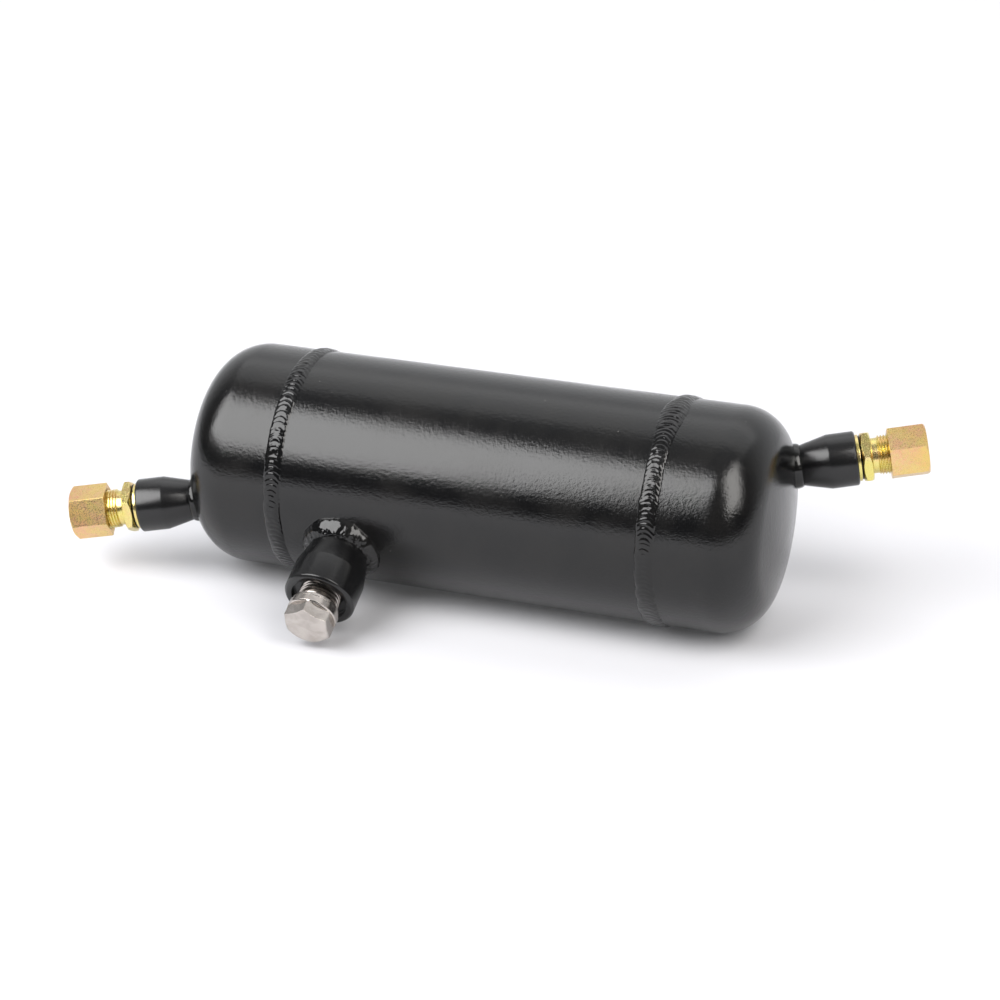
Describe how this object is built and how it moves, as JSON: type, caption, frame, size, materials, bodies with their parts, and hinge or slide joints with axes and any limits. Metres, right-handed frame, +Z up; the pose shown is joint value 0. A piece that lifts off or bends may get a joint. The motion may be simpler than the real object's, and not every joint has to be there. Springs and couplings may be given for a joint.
{
  "type": "hydraulic reservoir",
  "caption": "Welded steel fluid reservoir: a black tube shell with dished heads, a tapered boss and tube union on each head, and a drain boss with a threaded plug.",
  "frame": {"origin": "under the middle of the whole assembly, on the surface that the girth welds rest on", "axes": "+X along the shell from the left head to the right head, +Z up, the drain boss points to -Y and down"},
  "size_m": [0.4314, 0.169, 0.1169],
  "materials": {
    "tank_black": "gloss black powder coat with a fine orange peel",
    "weld_black": "gloss black powder coat over a rippled weld bead",
    "boss_black": "satin black coat over a turned surface",
    "zinc_yellow": "yellow and pink iridescent zinc plating",
    "ring_steel": "hardened steel, dull",
    "plug_steel": "bright turned stainless steel",
    "seal_rubber": "black nitrile rubber",
    "inner_steel": "plain mill-scale steel inside the vessel"
  },
  "bodies": {
    "tank": {"shell_tube": "tank_black", "left_head": "tank_black", "right_head": "tank_black", "left_girth_weld": "weld_black", "right_girth_weld": "weld_black", "left_backing_ring": "inner_steel", "right_backing_ring": "inner_steel", "left_port_boss": "boss_black", "right_port_boss": "boss_black", "left_port_boss_weld": "weld_black", "right_port_boss_weld": "weld_black", "left_union_body": "zinc_yellow", "right_union_body": "zinc_yellow", "left_seal_washer": "zinc_yellow", "right_seal_washer": "zinc_yellow", "left_seal_lip": "seal_rubber", "right_seal_lip": "seal_rubber", "drain_boss": "boss_black", "drain_boss_weld": "weld_black"},
    "left_ring": {"left_cutting_ring": "ring_steel"},
    "left_nut": {"left_union_nut": "zinc_yellow"},
    "right_ring": {"right_cutting_ring": "ring_steel"},
    "right_nut": {"right_union_nut": "zinc_yellow"},
    "plug_ring": {"plug_seal": "seal_rubber"},
    "plug": {"drain_plug": "plug_steel"}
  },
  "joints": [
    {"name": "left_nut_travel", "type": "slide", "parent": "tank", "child": "left_ring", "axis": [-0.95, -0.277, -0.1442], "range_m": [-0.0035, 0.00825]},
    {"name": "left_nut_turn", "type": "hinge", "parent": "left_ring", "child": "left_nut", "pos_m": [-0.20306, -0.02839, 0.03376], "axis": [-0.95, -0.277, -0.1442], "range_deg": [-840.5, 1980.5]},
    {"name": "right_nut_travel", "type": "slide", "parent": "tank", "child": "right_ring", "axis": [0.9409, 0.3005, 0.1564], "range_m": [-0.0035, 0.00825]},
    {"name": "right_nut_turn", "type": "hinge", "parent": "right_ring", "child": "right_nut", "pos_m": [0.20284, 0.07019, 0.08507], "axis": [0.9409, 0.3005, 0.1564], "range_deg": [-840.5, 1980.5]},
    {"name": "plug_travel", "type": "slide", "parent": "tank", "child": "plug_ring", "axis": [0, -0.9135, -0.4067], "range_m": [-0.00816, 0.00544]},
    {"name": "plug_turn", "type": "hinge", "parent": "plug_ring", "child": "plug", "pos_m": [-0.0619, -0.07354, 0.01723], "axis": [0, -0.9135, -0.4067], "range_deg": [-1620.5, 1080.5]}
  ],
  "couplings": [
    {"joint": "left_nut_turn", "follows": "left_nut_travel", "rad_per_m": 4188.8},
    {"joint": "right_nut_turn", "follows": "right_nut_travel", "rad_per_m": 4188.8},
    {"joint": "plug_turn", "follows": "plug_travel", "rad_per_m": 3463.7}
  ]
}
